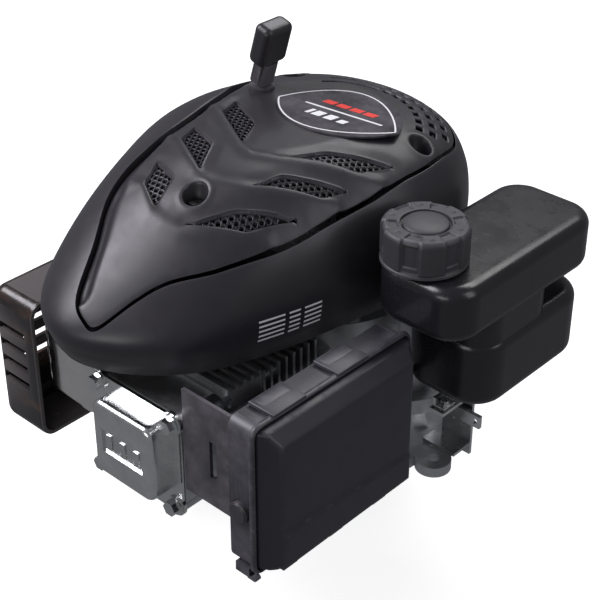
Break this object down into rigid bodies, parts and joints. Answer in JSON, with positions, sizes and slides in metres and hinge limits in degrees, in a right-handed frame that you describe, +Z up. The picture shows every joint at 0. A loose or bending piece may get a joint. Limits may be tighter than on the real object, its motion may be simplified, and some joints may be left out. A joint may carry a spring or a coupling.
{
  "type": "small gasoline engine",
  "caption": "Vertical-shaft overhead-valve petrol engine with black plastic shrouds, recoil starter, side fuel tank, box air cleaner and a muffler behind a louvred guard.",
  "frame": {"origin": "on the crankshaft axis in the plane of the mounting face", "axes": "+Z up the crankshaft, away from the machine; -Y towards the cylinder head; +X towards the air cleaner"},
  "size_m": [0.315, 0.317, 0.3545],
  "materials": {
    "cast_aluminium": "sand-cast, dull",
    "steel": "ground",
    "piston_alloy": "turned",
    "bearing_metal": "ground",
    "bright_zinc": "bright zinc plate on steel",
    "chrome": "polished",
    "guard_enamel": "gloss black heat-proof enamel",
    "seal_rubber": "satin",
    "gasket_fibre": "pressed fibre",
    "housing_plastic": "satin moulded black",
    "cover_plastic": "satin moulded black",
    "label_gloss": "glossy printed plate",
    "black_screw": "black oxide",
    "grip_plastic": "fine texture",
    "rope_cord": "braided polyester",
    "air_case_plastic": "satin moulded blue-black",
    "filter_paper": "pleated paper",
    "tank_plastic": "semi-gloss blow-moulded",
    "cap_plastic": "fine texture, charcoal",
    "coil_resin": "laminated iron and black resin"
  },
  "bodies": {
    "engine": {"crankcase": "cast_aluminium", "sump": "cast_aluminium", "cylinder_head": "cast_aluminium", "carburetor": "cast_aluminium", "rocker_shaft": "steel", "intake_spring": "steel", "exhaust_spring": "steel", "recoil_spring": "steel", "spark_plug": "steel", "main_bearings": "bearing_metal", "valve_cover": "bright_zinc", "valve_cover_bolts": "bright_zinc", "flange_bolts": "bright_zinc", "exhaust_bolts": "bright_zinc", "control_bracket": "bright_zinc", "cable_clamp": "bright_zinc", "muffler": "chrome", "muffler_guard": "guard_enamel", "oil_seals": "seal_rubber", "plug_boot": "seal_rubber", "ignition_lead": "seal_rubber", "fuel_hose": "seal_rubber", "gaskets": "gasket_fibre", "blower_housing": "housing_plastic", "top_cover": "cover_plastic", "rope_guide": "cover_plastic", "side_panel": "cover_plastic", "intake_insulator": "cover_plastic", "label_plate": "label_gloss", "cover_screws": "black_screw", "starter_rope": "rope_cord", "air_base": "air_case_plastic", "air_filter": "filter_paper", "fuel_tank": "tank_plastic", "ignition_coil": "coil_resin"},
    "crank": {"crankshaft": "steel", "flywheel": "cast_aluminium", "starter_cup": "steel", "flywheel_nut": "steel"},
    "cam": {"camshaft": "steel"},
    "piston": {"piston": "piston_alloy", "piston_rings": "steel", "gudgeon_pin": "steel"},
    "rod": {"connecting_rod": "steel", "crankpin": "steel"},
    "pulley": {"starter_pulley": "grip_plastic", "rope_coil": "rope_cord"},
    "grip": {"starter_grip": "grip_plastic", "rope_knot": "rope_cord"},
    "cap_plug": {"cap_seal": "seal_rubber"},
    "fuel_cap": {"fuel_cap": "cap_plastic"},
    "air_cover": {"air_cover": "air_case_plastic"},
    "primer": {"primer_button": "grip_plastic"},
    "brake": {"brake_lever": "bright_zinc"},
    "intake_lifter": {"intake_pushrod": "steel"},
    "intake_rocker": {"intake_rocker": "steel"},
    "intake_valve": {"intake_valve": "steel"},
    "exhaust_lifter": {"exhaust_pushrod": "steel"},
    "exhaust_rocker": {"exhaust_rocker": "steel"},
    "exhaust_valve": {"exhaust_valve": "steel"}
  },
  "joints": [
    {"name": "crank_spin", "type": "hinge", "parent": "engine", "child": "crank", "pos_m": [0, 0, 0], "axis": [0, 0, 1], "continuous": true},
    {"name": "cam_spin", "type": "hinge", "parent": "engine", "child": "cam", "pos_m": [0.038, 0.034, 0], "axis": [0, 0, 1], "continuous": true},
    {"name": "piston_stroke", "type": "slide", "parent": "engine", "child": "piston", "axis": [0, 1, 0], "range_m": [0, 0.042]},
    {"name": "rod_swing", "type": "hinge", "parent": "piston", "child": "rod", "pos_m": [0, -0.097, 0.077], "axis": [0, 0, 1], "range_deg": [-16, 16]},
    {"name": "starter_turn", "type": "hinge", "parent": "engine", "child": "pulley", "pos_m": [0, 0, 0.2125], "axis": [0, 0, -1], "range_deg": [0, 1010], "stiffness_Nm_per_rad": 0.01},
    {"name": "grip_pull", "type": "slide", "parent": "engine", "child": "grip", "axis": [0.284, 0, 0.9588], "range_m": [0, 0.67]},
    {"name": "cap_lift", "type": "slide", "parent": "engine", "child": "cap_plug", "axis": [0, 0, 1], "range_m": [0, 0.05]},
    {"name": "cap_turn", "type": "hinge", "parent": "cap_plug", "child": "fuel_cap", "pos_m": [0.11, -0.034, 0.2], "axis": [0, 0, 1], "range_deg": [0, 100]},
    {"name": "air_cover_swing", "type": "hinge", "parent": "engine", "child": "air_cover", "pos_m": [0.1194, -0.134, 0.0405], "axis": [0, 1, 0], "range_deg": [0, 70]},
    {"name": "primer_press", "type": "slide", "parent": "engine", "child": "primer", "axis": [0, 1, 0], "range_m": [0, 0.005], "stiffness_N_per_m": 800},
    {"name": "brake_swing", "type": "hinge", "parent": "engine", "child": "brake", "pos_m": [0.1, 0.0165, 0.044], "axis": [0, 1, 0], "range_deg": [-10, 8], "stiffness_Nm_per_rad": 1},
    {"name": "intake_lift", "type": "slide", "parent": "engine", "child": "intake_lifter", "axis": [0, -1, 0], "range_m": [0, 0.004], "stiffness_N_per_m": 3000, "deforming": ["intake_spring"]},
    {"name": "intake_rock", "type": "hinge", "parent": "engine", "child": "intake_rocker", "pos_m": [0.0225, -0.17, 0.091], "axis": [0, 0, -1], "range_deg": [0, 15.91]},
    {"name": "intake_open", "type": "slide", "parent": "engine", "child": "intake_valve", "axis": [0, 1, 0], "range_m": [0, 0.0041]},
    {"name": "exhaust_lift", "type": "slide", "parent": "engine", "child": "exhaust_lifter", "axis": [0, -1, 0], "range_m": [0, 0.004], "stiffness_N_per_m": 3000, "deforming": ["exhaust_spring"]},
    {"name": "exhaust_rock", "type": "hinge", "parent": "engine", "child": "exhaust_rocker", "pos_m": [0.0225, -0.17, 0.063], "axis": [0, 0, -1], "range_deg": [0, 15.91]},
    {"name": "exhaust_open", "type": "slide", "parent": "engine", "child": "exhaust_valve", "axis": [0, 1, 0], "range_m": [0, 0.0041]}
  ],
  "couplings": [
    {"joint": "cam_spin", "follows": "crank_spin", "ratio": -0.5},
    {"joint": "grip_pull", "follows": "starter_turn", "m_per_rad": 0.038},
    {"joint": "intake_rock", "follows": "intake_lift", "rad_per_m": 68.966},
    {"joint": "intake_open", "follows": "intake_lift", "ratio": 1},
    {"joint": "exhaust_rock", "follows": "exhaust_lift", "rad_per_m": 68.966},
    {"joint": "exhaust_open", "follows": "exhaust_lift", "ratio": 1}
  ]
}
